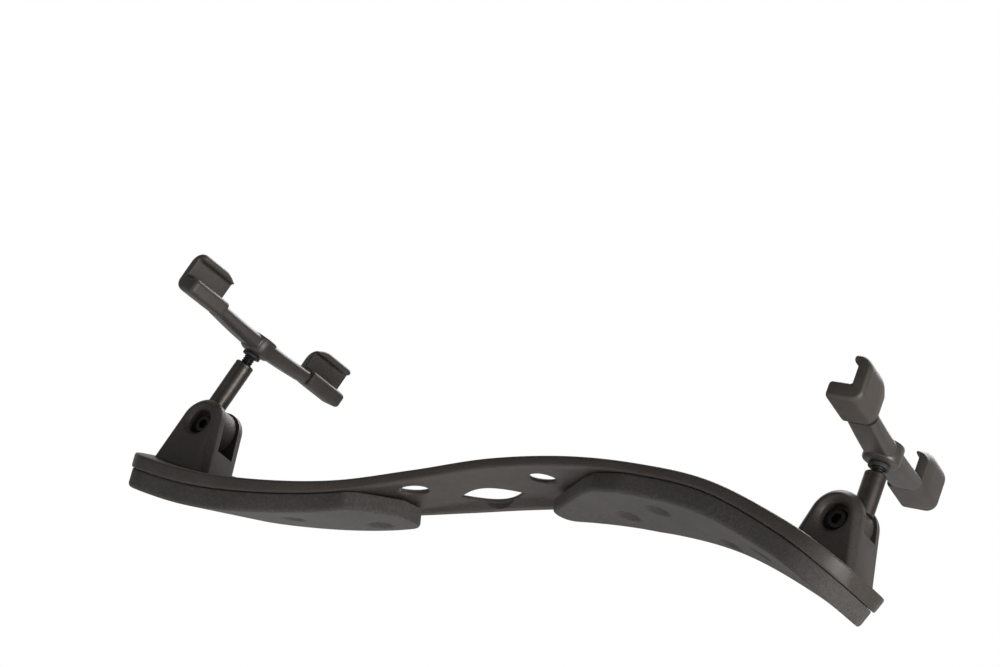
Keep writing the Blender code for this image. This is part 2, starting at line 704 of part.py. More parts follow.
def make_claw(side, name, direction, foot, mat):
    """A rubber claw pushed over one end of the bow."""
    start = BOW_REACH - CLAW_LENGTH
    rings = []
    for y, shrink in ((start, 0.6), (start + 0.5, 0.12), (start + 1.2, 0), (BOW_REACH - 1.4, 0),
                      (BOW_REACH - 0.5, 0.25), (BOW_REACH, 0.7)):
        rings.append([(x, y * direction, z) for x, z in claw_outline(shrink)])
    claw = add_object(f"{side}_{name}_claw", rings_mesh("claw", rings), mat, foot)
    ends = sorted((direction * (start - 2), direction * (start + TONGUE_LENGTH + GAP)))
    reach = TONGUE_HALF + GAP
    low = (-reach, ends[0], TONGUE_INSET - GAP - JAW)
    high = (reach, ends[1], GAP - TONGUE_INSET)
    pocket = add_object(f"{side}_{name}_pocket", box_mesh("pocket", low, high), None, foot)
    boolean(claw, pocket)


# ---- the whole rest ----
def main():
    clear_scene()
    composite = material("composite", (0.045, 0.042, 0.039), 0.5)
    foam = material("foam", (0.075, 0.072, 0.070), 0.9)
    rubber = material("rubber", (0.050, 0.047, 0.044), 0.55)
    coated = material("coated_metal", (0.050, 0.047, 0.044), 0.42)
    gunmetal = material("gunmetal", (0.17, 0.15, 0.135), 0.35, 1.0)
    black_steel = material("black_steel", (0.03, 0.03, 0.03), 0.4, 1.0)
    nylon = material("nylon", (0.04, 0.04, 0.04), 0.6)

    bar = make_bar(composite)
    cut_eyelets(bar)
    for side, spec in SIDES.items():
        make_pad(side, foam)
        make_studs(side, bar, nylon)
        make_tower(side, composite)
        make_tower_screws(side, bar, black_steel)
        make_hinge(side, black_steel)
        pivot, _, lean = foot_geometry(side)
        leg = empty(f"{side}_leg_axis", pivot, (0, lean, 0))
        make_knuckle(side, leg, composite)
        make_sleeve(side, leg, gunmetal)
        turn = radians(spec["bow_turn"] + (180 if spec["sign"] < 0 else 0))
        seat = (spec["sign"] * SLEEVE_OFFSET, 0, spec["height"])
        foot = empty(f"{side}_foot_axis", seat, (0, 0, turn), leg)
        make_rod(side, foot, black_steel)
        make_collar(side, foot, nylon)
        make_bow(side, foot, coated)
        make_bow_screw(side, foot, black_steel)
        make_claw(side, "near", -spec["sign"], foot, rubber)
        make_claw(side, "far", spec["sign"], foot, rubber)
    bpy.context.view_layer.update()


main()
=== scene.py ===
"""Looks of the violin shoulder rest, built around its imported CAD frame.

Lengths are in mm in the row's frame and become metres in mesh_of(). The driving numbers
repeat the CAD's, and every piece here is a finer version of the CAD node it replaces.
"""

import bmesh
import bpy
from math import cos, pi, radians, sin, sqrt
from mathutils import Euler, Matrix, Vector

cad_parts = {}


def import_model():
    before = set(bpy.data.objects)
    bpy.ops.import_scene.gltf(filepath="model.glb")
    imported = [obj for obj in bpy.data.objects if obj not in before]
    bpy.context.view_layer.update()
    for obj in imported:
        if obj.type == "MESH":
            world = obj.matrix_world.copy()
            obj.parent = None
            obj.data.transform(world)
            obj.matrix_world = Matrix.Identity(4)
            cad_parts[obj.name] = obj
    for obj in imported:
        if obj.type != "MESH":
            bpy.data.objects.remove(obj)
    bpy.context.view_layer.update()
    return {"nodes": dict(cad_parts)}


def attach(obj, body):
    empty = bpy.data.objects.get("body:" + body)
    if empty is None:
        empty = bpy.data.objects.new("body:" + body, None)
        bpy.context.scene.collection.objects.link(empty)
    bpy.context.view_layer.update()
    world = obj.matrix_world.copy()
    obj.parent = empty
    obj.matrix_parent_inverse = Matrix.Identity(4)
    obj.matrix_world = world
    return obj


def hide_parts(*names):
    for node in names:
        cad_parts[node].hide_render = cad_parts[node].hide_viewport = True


MM = 0.001
GAP = 0.3

# Bar stations: x, height of the top face's middle, half width, twist, thickness.
BAR_STATIONS = (
    (-116.0, -39.8, 16.5, 18.5, 4.0),
    (-90.0, -42.0, 16.8, 18.0, 3.8),
    (-66.0, -41.2, 16.2, 16.5, 3.4),
    (-42.0, -38.2, 15.0, 13.0, 3.0),
    (-20.0, -32.8, 14.0, 7.5, 2.8),
    (2.0, -26.9, 14.0, 3.2, 2.8),
    (24.0, -22.8, 14.0, 2.4, 2.8),
    (46.0, -21.4, 14.8, 3.2, 2.8),
    (68.0, -22.9, 16.2, 3.0, 3.0),
    (92.0, -29.3, 17.0, 3.0, 3.5),
    (108.5, -35.9, 17.0, 2.0, 4.0),
)
BAR_CORNER = 11.0
BAR_EDGE = 0.7
WAIST_X, WAIST_REACH = -6.0, 34.0
HOLLOW, RIM = 1.7, 2.4
OVALS = ((-25.4, -3.0, 4.0, 3.4), (11.6, -2.5, 3.8, 3.0))
LEAF = (-8.2, 6.4, 9.3, 4.8)

PADS = {
    "chest": {
        "start": -115.5, "end": -29.6,
        "near_inset": ((-38.5, 0.0), (-36.5, 1.5), (-29.6, 12.5)),
        "far_inset": ((-115, 1.0), (-28, 4.0)),
        "thickness": ((-116, 5.0), (-85, 5.3), (-55, 4.8), (-28, 4.4)),
        "studs": {"outer": (-82.0, 3.0), "inner": (-46.0, 2.0)},
        "dimples": ((-39.5, 4.0), (-61.0, -4.5)),
    },
    "shoulder": {
        "start": 11.0, "end": 108.2,
        "near_inset": ((11.0, 19.0), (28.0, 5.0), (33.0, 1.8), (42.0, 0.0)),
        "far_inset": ((11, 1.0), (40, 1.2), (70, 3.0), (95, 3.0), (108, 1.0)),
        "thickness": ((11, 3.6), (22, 4.2), (40, 4.9), (70, 4.9), (108, 4.6)),
        "studs": {"inner": (46.0, 2.0), "outer": (80.0, 3.0)},
        "dimples": ((35.5, 3.5), (50.0, -5.5), (66.0, 7.0), (81.5, -1.0)),
    },
}
PAD_INSET, PAD_EDGE, PAD_CORNER = 0.5, 1.2, 4.0
STUD_HEAD_R, STUD_STEM_R, STUD_HEAD = 2.6, 1.4, 0.9
DIMPLE_R, DIMPLE = 3.3, 1.3

DEPTH, SLOT, EAR_R, EAR_BEVEL = 6.6, 3.2, 7.0, 1.7
TOWER_DROP, TOWER_FLARE = 20.0, 14.0
EAR_Y = 4.9               # middle of an ear, where the tower's screws stand
SCREW_R, SCREW_HEAD_R, SCREW_HEAD = 1.0, 2.0, 1.2
SCREW_SUNK = 0.9          # the tower screws' heads above the bar's underside
ENVELOPE_REACH = 20       # half the length of bar that trims a tower's underside
BORE_R, FUNNEL_R = 3.5, 4.5
PIN_R, PIN_HEAD_R, PIN_HEAD_Y, PIN_HEAD = 1.5, 2.5, -4.0, 2.2
NUT_R, NUT_DEPTH = 3.1, 2.0
KNUCKLE_R = 6.4
SLEEVE_OFFSET, SLEEVE_R, SLEEVE_BORE_R = 3.75, 2.7, 1.9
SHOULDER_Z, SLEEVE_FLOOR, SPIGOT_R, SPIGOT_END = 3.4, 1.0, 1.4, -3.4
ROD_R, ROD_SPARE, PITCH, THREAD_DEPTH = 1.6, 2.2, 0.7, 0.28
COLLAR_R, COLLAR_HEIGHT = 2.6, 0.9
BOW_REACH, BOSS_R, BOSS_BOTTOM, BOSS_HEIGHT, BOSS_ROOF = 30.5, 4.6, -6.3, 5.4, 2.9
ARM_HALF, ARM_TAPER, ARM_THICK, ARM_THINNING = 4.0, 0.1, 4.6, 0.8
HEAD_FLOOR = 1.3
BOW_SCREW_R = 1.9
CLAW_LENGTH, JAW, JAW_TIP, MOUTH = 13.0, 4.5, -4.8, 5.2
INNER_WALL, OUTER_WALL, HOOK, HOOK_X = 1.2, 4.4, 1.0, 0.3
CLAW_CORNER, CROWN_CORNER, JAW_CORNER = 2.8, 3.6, 1.2

SIDES = {
    "chest": {
        "sign": -1, "base": (-106.62, -28.57), "lean": 13.8, "height": 30.5, "sleeve_top": 20.6,
        "bow_turn": -12.0,
    },
    "shoulder": {
        "sign": 1, "base": (100.53, -22.89), "lean": -2.0, "height": 22.9, "sleeve_top": 14.0,
        "bow_turn": 6.4,
    },
}

LIGHTS = (                # name, place, aim, size and power in watts
    ("key", (640, -120, -110), (0, 0, -20), 260, 3.6),
    ("top", (-60, 320, 520), (0, 0, -20), 500, 5.0),
    ("fill", (-420, -620, 60), (0, 0, -20), 500, 0.3),
)
FLOOR_GLOW = 0.12         # strength of the floor's own light
WALL_TOWARDS = (-0.6, 0.75, 0.1)
WALL_EDGE = 0.1           # how far round the bright wall reaches, as a cosine
WALL_BRIGHT = 0.8
STUDIO_DIM = 0.07
CAMERA_AT = (425.1, -532.1, -218.6)
CAMERA_TURN = (109.889, -22.156, 32.255)
CAMERA_LENS = 100.8
FLOOR_Z = -330.0
FLOOR_REACH = 6.0         # metres


# ---- mesh helpers ----
def mesh_of(name, points, faces, sharp=35.0, matrix=None):
    """A mesh from points in mm, with its faces turned outwards."""
    bm = bmesh.new()
    verts = [bm.verts.new(Vector(p) * MM) for p in points]
    for face in faces:
        bm.faces.new([verts[i] for i in face])
    bmesh.ops.recalc_face_normals(bm, faces=bm.faces)
    mesh = bpy.data.meshes.new(name)
    bm.to_mesh(mesh)
    bm.free()
    if matrix is not None:
        mesh.transform(matrix)
    mesh.shade_smooth()
    mesh.set_sharp_from_angle(angle=radians(sharp))
    return mesh


def rings_mesh(name, rings, sharp=35.0, matrix=None):
    """Skin a stack of rings that hold the same number of points each, and close its ends."""
    count = len(rings[0])
    points = [p for ring in rings for p in ring]
    faces = []
    for k in range(len(rings) - 1):
        for i in range(count):
            j = (i + 1) % count
            faces.append((k * count + i, k * count + j, (k + 1) * count + j, (k + 1) * count + i))
    last = (len(rings) - 1) * count
    faces.append(tuple(reversed(range(count))))
    faces.append(tuple(range(last, last + count)))
    return mesh_of(name, points, faces, sharp, matrix)


def turned_mesh(name, profile, segments=56, axis="Z", matrix=None, sharp=35.0):
    """Turn a closed (radius, height) profile about Z or Y; points at radius 0 are shared."""
    points = []
    index = []
    for radius, height in profile:
        row = []
        for k in range(segments):
            if radius == 0 and row:
                row.append(row[0])
                continue
            angle = 2 * pi * k / segments
            row.append(len(points))
            if axis == "Z":
                points.append((radius * cos(angle), radius * sin(angle), height))
            else:
                points.append((radius * cos(angle), height, radius * sin(angle)))
        index.append(row)
    faces = []
    for a, b in zip(index, index[1:] + index[:1]):
        for k in range(segments):
            j = (k + 1) % segments
            face = list(dict.fromkeys((a[k], a[j], b[j], b[k])))
            if len(face) > 2:
                faces.append(face)
    return mesh_of(name, points, faces, sharp, matrix)


def arc(cx, cy, radius, start, end, steps):
    """Points on an arc, angles in degrees."""
    angles = [radians(start + (end - start) * k / steps) for k in range(steps + 1)]
    return [(cx + radius * cos(a), cy + radius * sin(a)) for a in angles]


def rounded(outline, radius, steps=4):
    """The outline with each corner replaced by a small arc-like curve."""
    points = []
    count = len(outline)
    for i in range(count):
        here = Vector(outline[i])
        before = Vector(outline[i - 1]) - here
        after = Vector(outline[(i + 1) % count]) - here
        reach = min(radius, 0.45 * before.length, 0.45 * after.length)
        a = here + before.normalized() * reach
        b = here + after.normalized() * reach
        for k in range(steps + 1):
            t = k / steps
            points.append(tuple(a * (1 - t) ** 2 + here * 2 * t * (1 - t) + b * t * t))
    return points


def cylinder(radius, low, high):
    return ((0, high), (radius, high), (radius, low), (0, low))


def hexagon(radius, y):
    return [(radius * cos(k * pi / 3), y, radius * sin(k * pi / 3)) for k in range(6)]


def add_object(name, mesh):
    obj = bpy.data.objects.new(name, mesh)
    bpy.context.scene.collection.objects.link(obj)
    return obj


def cut(obj, tools, operation="DIFFERENCE", sharp=35.0):
    """Apply one exact Boolean per tool mesh, and keep only the result."""
    for k, mesh in enumerate(tools):
        tool = add_object(f"{obj.name}_tool_{k}", mesh)
        mod = obj.modifiers.new("cut", "BOOLEAN")
        mod.operation = operation
        mod.solver = "EXACT"
        mod.object = tool
        bpy.context.view_layer.update()
        made = bpy.data.meshes.new_from_object(obj.evaluated_get(bpy.context.evaluated_depsgraph_get()))
        obj.modifiers.remove(mod)
        obj.data = made
        bpy.data.objects.remove(tool)
    obj.data.shade_smooth()
    obj.data.set_sharp_from_angle(angle=radians(sharp))


def stand_for(obj, node, body, mat):
    """Put obj in place of a CAD node, riding on the node's body."""
    obj.data.materials.clear()
    obj.data.materials.append(mat)
    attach(obj, body)
    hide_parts(node)
    return obj


# ---- the bar's surface, as in the CAD ----
def station(x):
    """Height, half width, twist and thickness of the bar at x, by a smooth cubic."""
    rows = BAR_STATIONS
    x = min(max(x, rows[0][0]), rows[-1][0])
    k = max(i for i in range(len(rows) - 1) if rows[i][0] <= x)
    span = rows[k + 1][0] - rows[k][0]
    t = (x - rows[k][0]) / span

    def slope(i, column):
        low = rows[max(i - 1, 0)]
        high = rows[min(i + 1, len(rows) - 1)]
        return (high[column] - low[column]) / (high[0] - low[0])

    values = []
    for column in (1, 2, 3, 4):
        start = rows[k][column]
        end = rows[k + 1][column]
        rise = slope(k, column) * span
        run = slope(k + 1, column) * span
        values.append(start * (1 + 2 * t) * (1 - t) ** 2 + rise * t * (1 - t) ** 2
                      + end * t * t * (3 - 2 * t) - run * t * t * (1 - t))
    return values


def bar_point(x, across, depth):
    """The point at x, so far across the bar (+ to the far edge) and so deep below its top."""
    height, _, twist, _ = station(x)
    along = Vector((1.0, 0.0, station(x + 0.5)[0] - station(x - 0.5)[0])).normalized()
    upright = Vector((-along.z, 0.0, along.x))
    side = Vector((0, 1, 0)) * cos(radians(twist)) + upright * sin(radians(twist))
    normal = upright * cos(radians(twist)) - Vector((0, 1, 0)) * sin(radians(twist))
    return Vector((x, 0, height)) + side * across - normal * depth


def bar_frame(x, across):
    """Placing matrix on the bar's top: local Z along the bar's normal, Y across it."""
    origin = bar_point(x, across, 0)
    up = (bar_point(x, across, 0) - bar_point(x, across, 1)).normalized()
    over = (bar_point(x, across + 1, 0) - bar_point(x, across, 0)).normalized()
    rotation = Matrix((over.cross(up).normalized(), over, up)).transposed()
    return Matrix.Translation(origin * MM) @ rotation.to_4x4()


def bar_top(x, y):
    """Height of the bar's top face above the point (x, y)."""
    across = 0.0
    station_x = x
    for _ in range(12):
        point = bar_point(station_x, across, 0)
        across += y - point.y
        station_x += x - point.x
    return bar_point(station_x, across, 0).z


def corner_cut(x, start, end, radii):
    """How much the rounded plan corners take off the half width near the two ends."""
    cut_off = 0.0
    for distance, radius in ((x - start, radii[0]), (end - x, radii[1])):
        if distance < radius:
            cut_off = radius - sqrt(max(radius ** 2 - (radius - distance) ** 2, 0.0))
    return cut_off


def end_spaced(start, end, steps, radii):
    """Positions from start to end, closer together in the rounded corners."""
    first, last = [[radius * (1 - cos(radians(a))) for a in range(0, 84, 7)] for radius in radii]
    low, high = start + radii[0], end - radii[1]
    inner = [low + (high - low) * k / steps for k in range(steps + 1)]
    return [start + c for c in first] + inner + [end - c for c in reversed(last)]


def hollow_depth(x):
    away = min(abs(x - WAIST_X) / WAIST_REACH, 1.0)
    return HOLLOW * (1 - away ** 4) ** 2


def along_bar(rows, x):
    """The value at x from (place, value) rows."""
    if x <= rows[0][0]:
        return rows[0][1]
    for (x0, v0), (x1, v1) in zip(rows, rows[1:]):
        if x <= x1:
            return v0 + (v1 - v0) * (x - x0) / (x1 - x0)
    return rows[-1][1]


def across_rows(a, b, steps):
    return [a + (b - a) * k / steps for k in range(1, steps)]


# ---- bar ----
def bar_section(x, half, thickness):
    """Rounded section of the bar at x, as (across, depth), with the waist's hollow."""
    dent = hollow_depth(x)
    r = BAR_EDGE
    near = -half
    corners = arc(near + r, r, r, 180, 270, 4) + [(s, 0.0) for s in across_rows(near + r, half - r, 8)]
    corners += arc(half - r, r, r, 270, 360, 4) + arc(half - r, thickness - r, r, 0, 90, 4)
    inner = half - RIM
    slope = [(inner, 0.0), (inner - 0.25, 0.12), (inner - 0.7, 0.5), (inner - 1.15, 0.88), (inner - 1.4, 1.0)]
    under = [(s, thickness - dent * share) for s, share in slope]
    web = inner - 1.4
    under += [(s, thickness - dent) for s in across_rows(web, -web, 6)]
    under += [(-s, thickness - dent * share) for s, share in reversed(slope)]
    corners += under + arc(near + r, thickness - r, r, 90, 180, 4)
    return corners


def leaf(length, width, steps=16):
    """A pointed oval from two arcs, as (along, across) points."""
    half = [(-length + 2 * length * k / steps, width * sin(pi * k / steps)) for k in range(steps + 1)]
    return half + [(a, -s) for a, s in half[-2:0:-1]]


def oval(length, width, steps=32):
    return [(length * cos(2 * pi * i / steps), width * sin(2 * pi * i / steps)) for i in range(steps)]


def eyelet_tool(x, across, outline):
    """A cutter through the web, with a small countersink on both faces."""
    web = station(x)[3] - hollow_depth(x)
    rings = []
    levels = ((-3, 0.35), (-0.02, 0.35), (0.3, 0.0), (web - 0.3, 0.0), (web + 0.05, 0.3), (7, 0.3))
    for depth, grow in levels:
        reach = 1 + grow / max(a for a, _ in outline)
        wide = 1 + grow / max(s for _, s in outline)
        rings.append([bar_point(x + a * reach, across + s * wide, depth) for a, s in outline])
    return rings_mesh("eyelet", rings)


def make_bar(mat):
    start, end = BAR_STATIONS[0][0], BAR_STATIONS[-1][0]
    rings = []
    for x in end_spaced(start, end, 110, (BAR_CORNER, BAR_CORNER)):
        _, half, _, thickness = station(x)
        half -= corner_cut(x, start, end, (BAR_CORNER, BAR_CORNER))
        rings.append([bar_point(x, s, d) for s, d in bar_section(x, half, thickness)])
    bar = add_object("bar_shell", rings_mesh("bar", rings, 40))
    tools = [eyelet_tool(x, across, oval(length, width)) for x, across, length, width in OVALS]
    tools.append(eyelet_tool(LEAF[0], LEAF[1], leaf(LEAF[2], LEAF[3])))
    for side in SIDES:
        for x, across in PADS[side]["studs"].values():
            hole = cylinder(STUD_STEM_R + GAP, -8, -0.3)
            tools.append(turned_mesh("hole", hole, 24, "Z", bar_frame(x, across)))
        pivot, _, _ = foot_geometry(side)
        head = SCREW_SUNK - station(pivot.x)[3]
        ledge = head + SCREW_HEAD + GAP
        for y in (-EAR_Y, EAR_Y):
            place = Matrix.Translation(Vector((pivot.x, y, bar_top(pivot.x, y))) * MM)
            hole = ((0, 5), (SCREW_R + GAP, 5), (SCREW_R + GAP, ledge),
                    (SCREW_HEAD_R + GAP, ledge), (SCREW_HEAD_R + GAP, -9), (0, -9))
            tools.append(turned_mesh("hole", hole, 32, "Z", place))
    cut(bar, tools, sharp=38)
    stand_for(bar, "bar", "rest", mat)


# ---- pads and studs ----
def make_pad(side, mat):
    """A foam pad with rounded edges and soft moulded dimples in its sole."""
    pad = PADS[side]
    start, end = pad["start"], pad["end"]
    corners = (BAR_CORNER - PAD_INSET, PAD_CORNER)
    if side == "shoulder":
        corners = corners[::-1]
    rings = []
    for x in end_spaced(start, end, 96, corners):
        cut_off = corner_cut(x, start, end, corners)
        a = -station(x)[1] + PAD_INSET + max(cut_off, along_bar(pad["near_inset"], x))
        b = station(x)[1] - along_bar(pad["far_inset"], x) - cut_off
        t = station(x)[3] + 0.15
        u = station(x)[3] + GAP + along_bar(pad["thickness"], x)
        r = PAD_EDGE
        section = arc(a + 0.5, t + 0.5, 0.5, 180, 270, 3) + [(s, t) for s in across_rows(a + 0.5, b - 0.5, 6)]
        section += arc(b - 0.5, t + 0.5, 0.5, 270, 360, 3) + arc(b - r, u - r, r, 0, 90, 6)
        sole = across_rows(b - r, a + r, 44)
        section += [(s, u - dimple(pad, x, s)) for s in sole] + arc(a + r, u - r, r, 90, 180, 6)
        rings.append([bar_point(x, s, d) for s, d in section])
    obj = add_object(f"{side}_foam_pad", rings_mesh("pad", rings, 50))
    tools = []
    for x, across in pad["studs"].values():
        pocket = cylinder(STUD_HEAD_R + 0.2, -station(x)[3] - GAP - STUD_HEAD - 0.2, 3)
        tools.append(turned_mesh("pocket", pocket, 40, "Z", bar_frame(x, across)))
    cut(obj, tools, sharp=50)
    stand_for(obj, f"{side}_pad", "rest", mat)


def dimple(pad, x, across):
    """How deep the sole is drawn in at its round dimples, in mm."""
    depth = 0.0
    for dimple_x, dimple_across in pad["dimples"]:
        away = sqrt((x - dimple_x) ** 2 + (across - dimple_across) ** 2) / DIMPLE_R
        if away < 1:
            depth = DIMPLE * (1 - away ** 3)
    return depth


def make_studs(side, mat):
    for name, (x, across) in PADS[side]["studs"].items():
        head = -station(x)[3] - GAP
        r = STUD_HEAD_R
        profile = ((0, -0.6), (STUD_STEM_R - 0.3, -0.6), (STUD_STEM_R, -0.9), (STUD_STEM_R, head),
                   (r - 0.1, head), (r, head - 0.1), (r, head - STUD_HEAD + 0.2), (r - 0.2, head - STUD_HEAD),
                   (0, head - STUD_HEAD))
        obj = add_object(f"{side}_stud_{name}", turned_mesh("stud", profile, 48, "Z", bar_frame(x, across)))
        stand_for(obj, f"{side}_pad_stud_{name}", "rest", mat)


# ---- towers, hinges and legs ----
def foot_geometry(side):
    """Pivot, foot of the leg axis and the leg's lean."""
    spec = SIDES[side]
    lean = radians(spec["lean"])
    inward = Vector((cos(lean), 0, -sin(lean))) * -spec["sign"]
    base = Vector((spec["base"][0], 0, spec["base"][1]))
    return base + inward * SLEEVE_OFFSET, base, lean


def tower_outline(radius):
    flare = radians(TOWER_FLARE)
    crown = arc(0, 0, radius, TOWER_FLARE, 180 - TOWER_FLARE, 40)
    spread = (radius + TOWER_DROP * sin(flare)) / cos(flare)
    return [(spread, -TOWER_DROP)] + crown + [(-spread, -TOWER_DROP)]


def slot_outline(side):
    """The slot between the ears: rounded under the knuckle outboard, open to its floor inboard."""
    floor = KNUCKLE_R + GAP
    outline = arc(0, 0, floor, 197, 270, 20)
    lip = outline[0][1]
    outline += [(14, -floor), (14, 12), (-14, 12), (-14, lip)]
    if side == "shoulder":
        outline = [(-x, z) for x, z in reversed(outline)]
    return outline


def make_tower(side, mat):
    """The moulded tower: softly rounded bevels, a slot for the knuckle and the screw's funnel."""
    pivot, _, _ = foot_geometry(side)
    place = Matrix.Translation(pivot * MM)
    bevel = ((0.0, EAR_BEVEL), (0.12, EAR_BEVEL - 0.25), (0.4, EAR_BEVEL - 0.57),
             (1.3, 0.33), (1.55, 0.12), (1.9, 0.0))
    levels = [(y - DEPTH, inset) for y, inset in bevel]
    levels += [(-y, inset) for y, inset in reversed(levels)]
    rings = [[(x, y, z) for x, z in tower_outline(EAR_R - inset)] for y, inset in levels]
    tower = add_object(f"{side}_tower_body", rings_mesh("tower", rings, 40, place))
    funnel = FUNNEL_R - BORE_R
    bore = ((0, -DEPTH - 1), (FUNNEL_R + 1.3, -DEPTH - 1), (FUNNEL_R + 0.3, -DEPTH), (FUNNEL_R, 0.12 - DEPTH),
            (BORE_R + 0.2, -DEPTH + funnel - 0.1), (BORE_R, -DEPTH + funnel + 0.2), (BORE_R, 0), (0, 0))
    pocket = [hexagon(NUT_R + 0.2, y) for y in (DEPTH - NUT_DEPTH - GAP, DEPTH + 1)]
    envelope = []
    for k in range(41):
        x = pivot.x + ENVELOPE_REACH * (k / 20 - 1)
        envelope.append([bar_point(x, s, d) for s, d in ((-22, -0.08), (22, -0.08), (22, 30), (-22, 30))])
    tools = [
        rings_mesh("slot", [[(x, y, z) for x, z in slot_outline(side)] for y in (-SLOT, SLOT)], 40, place),
        turned_mesh("bore", bore, 56, "Y", place),
        turned_mesh("pin_hole", cylinder(PIN_R + 0.2, 0, DEPTH + 1), 40, "Y", place),
        rings_mesh("pocket", pocket, 40, place),
        rings_mesh("envelope", envelope),
    ]
    cut(tower, tools, sharp=30)
    stand_for(tower, f"{side}_tower", "rest", mat)


def make_hinge(side, mat):
    pivot, _, _ = foot_geometry(side)
    place = Matrix.Translation(pivot * MM)
    inner = PIN_HEAD_Y + PIN_HEAD
    rim = PIN_HEAD_R - 0.25
    profile = ((0, PIN_HEAD_Y), (rim, PIN_HEAD_Y), (PIN_HEAD_R, PIN_HEAD_Y + 0.25), (PIN_HEAD_R, inner),
               (PIN_R, inner), (PIN_R, DEPTH - 0.6), (PIN_R - 0.3, DEPTH - 0.3), (0, DEPTH - 0.3))
    screw = add_object(f"{side}_hinge_bolt", turned_mesh("hinge_screw", profile, 56, "Y", place))
    socket = rings_mesh("socket", [hexagon(1.45, y) for y in (PIN_HEAD_Y - 1, PIN_HEAD_Y + 1.5)], 35, place)
    cut(screw, [socket])
    stand_for(screw, f"{side}_hinge_screw", "rest", mat)


def leg_matrix(side):
    pivot, _, lean = foot_geometry(side)
    return Matrix.Translation(pivot * MM) @ Matrix.Rotation(lean, 4, "Y")


def make_knuckle(side, mat):
    place = leg_matrix(side)
    thick = SLOT - GAP
    levels = ((-thick, 0.45), (0.06 - thick, 0.22), (0.2 - thick, 0.06), (0.45 - thick, 0.0))
    levels += tuple((-y, inset) for y, inset in reversed(levels))
    rings = [[(x, y, z) for x, z in arc(0, 0, KNUCKLE_R - i, 0, 355, 71)] for y, i in levels]
    knuckle = add_object(f"{side}_knuckle_disc", rings_mesh("knuckle", rings, 40, place))
    step = PIN_HEAD_Y + PIN_HEAD + 0.2
    bore = ((0, -5), (PIN_HEAD_R + 0.2, -5), (PIN_HEAD_R + 0.2, step),
            (PIN_R + 0.2, step), (PIN_R + 0.2, 5), (0, 5))
    seat = place @ Matrix.Translation((SIDES[side]["sign"] * SLEEVE_OFFSET * MM, 0, 0))
    socket = ((0, 12), (SLEEVE_R + 0.15, 12), (SLEEVE_R + 0.15, SHOULDER_Z - 0.2),
              (SPIGOT_R + 0.2, SHOULDER_Z - 0.2), (SPIGOT_R + 0.2, -10), (0, -10))
    cut(knuckle, [turned_mesh("bore", bore, 48, "Y", place), turned_mesh("seat", socket, 48, "Z", seat)])
    stand_for(knuckle, f"{side}_knuckle", f"{side}_leg", mat)


def make_sleeve(side, mat):
    """The turned tube: a chamfered mouth, a faint groove below it and turning marks."""
    top = SIDES[side]["sleeve_top"]
    floor = SHOULDER_Z + SLEEVE_FLOOR
    r = SLEEVE_R
    profile = ((0, floor), (SLEEVE_BORE_R, floor), (SLEEVE_BORE_R, top - 0.3), (SLEEVE_BORE_R + 0.25, top),
               (r - 0.3, top), (r, top - 0.3), (r, top - 0.95), (r - 0.08, top - 1.02),
               (r - 0.08, top - 1.14), (r, top - 1.22), (r, SHOULDER_Z + 0.15),
               (r - 0.15, SHOULDER_Z), (SPIGOT_R, SHOULDER_Z),
               (SPIGOT_R, SPIGOT_END + 0.3), (SPIGOT_R - 0.3, SPIGOT_END), (0, SPIGOT_END))
    place = leg_matrix(side) @ Matrix.Translation((SIDES[side]["sign"] * SLEEVE_OFFSET * MM, 0, 0))
    obj = add_object(f"{side}_leg_sleeve", turned_mesh("sleeve", profile, 72, "Z", place))
    stand_for(obj, f"{side}_sleeve", f"{side}_leg", mat)


# ---- feet, in a frame on the rod's axis: Y along the bow, +X outboard, Z=0 at the seats ----
def foot_matrix(side):
    spec = SIDES[side]
    seat = Vector((spec["sign"] * SLEEVE_OFFSET, 0, spec["height"])) * MM
    turn = radians(spec["bow_turn"] + (180 if spec["sign"] < 0 else 0))
    return leg_matrix(side) @ Matrix.Translation(seat) @ Matrix.Rotation(turn, 4, "Z")


def make_rod(side, mat):
    """A threaded rod: the radius follows a V thread that climbs one pitch a turn."""
    bottom = -(SIDES[side]["height"] - SHOULDER_Z - SLEEVE_FLOOR - ROD_SPARE)
    top = BOSS_BOTTOM + BOSS_ROOF - GAP
    segments = 28
    step = PITCH / 6
    count = int((top - bottom) / step)
    rings = []
    for k in range(count + 1):
        z = bottom + k * step
        fade = min(1.0, (z - bottom) / 0.6, (top - z) / 0.6)
        ring = []
        for i in range(segments):
            phase = (z / PITCH - i / segments) % 1.0
            ramp = 1 - abs(2 * phase - 1)
            r = ROD_R - THREAD_DEPTH * (1 - min(1.0, 1.25 * ramp)) - 0.25 * (1 - fade)
            ring.append((r * cos(2 * pi * i / segments), r * sin(2 * pi * i / segments), z))
        rings.append(ring)
    obj = add_object(f"{side}_threaded_rod", rings_mesh("rod", rings, 60, foot_matrix(side)))
    stand_for(obj, f"{side}_rod", f"{side}_foot", mat)


def make_collar(side, mat):
    high = BOSS_BOTTOM - 0.15
    low = high - COLLAR_HEIGHT - 0.15
    inner = ROD_R + 0.15
    section = rounded(((inner, low), (inner, high), (COLLAR_R, high), (COLLAR_R, low)), 0.25, 3)
    obj = add_object(f"{side}_collar_ring", turned_mesh("collar", section, 56, "Z", foot_matrix(side)))
    stand_for(obj, f"{side}_collar", f"{side}_lift", mat)


def arm_section(half, under, thick):
    """The arm's section: a narrow sole, sloping flanks and a flat top, softly rounded."""
    top = under + thick
    outline = ((-half + 1.1, under), (half - 1.1, under), (half, under + 1.1), (half, top - 0.9),
               (half - 0.9, top), (-half + 0.9, top), (-half, top - 0.9), (-half, under + 1.1))
    return rounded(outline, 0.6, 4)


